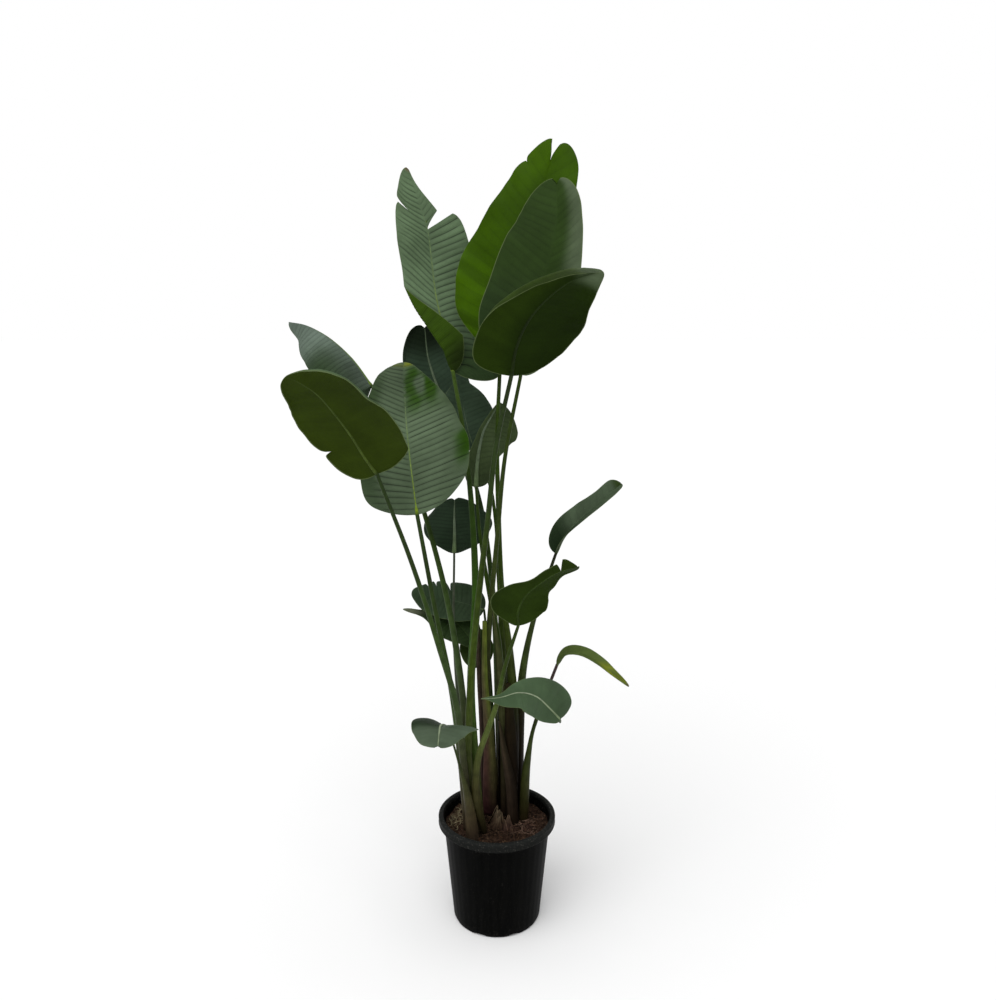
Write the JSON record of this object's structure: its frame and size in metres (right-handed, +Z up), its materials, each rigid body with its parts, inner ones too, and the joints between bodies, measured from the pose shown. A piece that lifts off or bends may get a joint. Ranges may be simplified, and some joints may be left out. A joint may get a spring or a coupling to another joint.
{
  "type": "potted bird of paradise",
  "caption": "Tall white bird of paradise plant with broad leaves on long bare stalks, growing in a round black plastic nursery pot.",
  "frame": {"origin": "centre of the pot's foot, on the surface that the pot stands on", "axes": "+Z up along the pot's axis, -Y towards the front, +X to the right as seen from the front"},
  "size_m": [0.8024, 0.7394, 1.9273],
  "materials": {
    "pot": "satin",
    "soil": "matte",
    "blade": "satin",
    "stalk": "satin",
    "old_base": "matte"
  },
  "bodies": {
    "root": {"bent_leaf_blade": "blade", "bent_leaf_stalk": "stalk", "broad_left_leaf_blade": "blade", "broad_left_leaf_stalk": "stalk", "bulb_stub": "old_base", "curled_right_leaf_blade": "blade", "curled_right_leaf_stalk": "stalk", "cut_base_brown": "old_base", "cut_base_green": "old_base", "dark_back_leaf_blade": "blade", "dark_back_leaf_stalk": "stalk", "drooping_back_leaf_blade": "blade", "drooping_back_leaf_stalk": "stalk", "dry_stub": "old_base", "far_left_leaf_blade": "blade", "far_left_leaf_stalk": "stalk", "front_left_leaf_blade": "blade", "front_left_leaf_stalk": "stalk", "front_right_leaf_blade": "blade", "front_right_leaf_stalk": "stalk", "high_back_leaf_blade": "blade", "high_back_leaf_stalk": "stalk", "high_front_leaf_blade": "blade", "high_front_leaf_stalk": "stalk", "high_left_leaf_blade": "blade", "high_left_leaf_stalk": "stalk", "high_middle_leaf_blade": "blade", "high_middle_leaf_stalk": "stalk", "inner_leaf_blade": "blade", "inner_leaf_stalk": "stalk", "leaning_sheath": "old_base", "long_right_leaf_blade": "blade", "long_right_leaf_stalk": "stalk", "low_back_leaf_blade": "blade", "low_back_leaf_stalk": "stalk", "lowest_back_leaf_blade": "blade", "lowest_back_leaf_stalk": "stalk", "narrow_right_leaf_blade": "blade", "narrow_right_leaf_stalk": "stalk", "old_sheath": "old_base", "pointed_base": "old_base", "pot": "pot", "round_leaf_blade": "blade", "round_leaf_stalk": "stalk", "soil": "soil", "upper_left_leaf_blade": "blade", "upper_left_leaf_stalk": "stalk"}
  },
  "joints": []
}
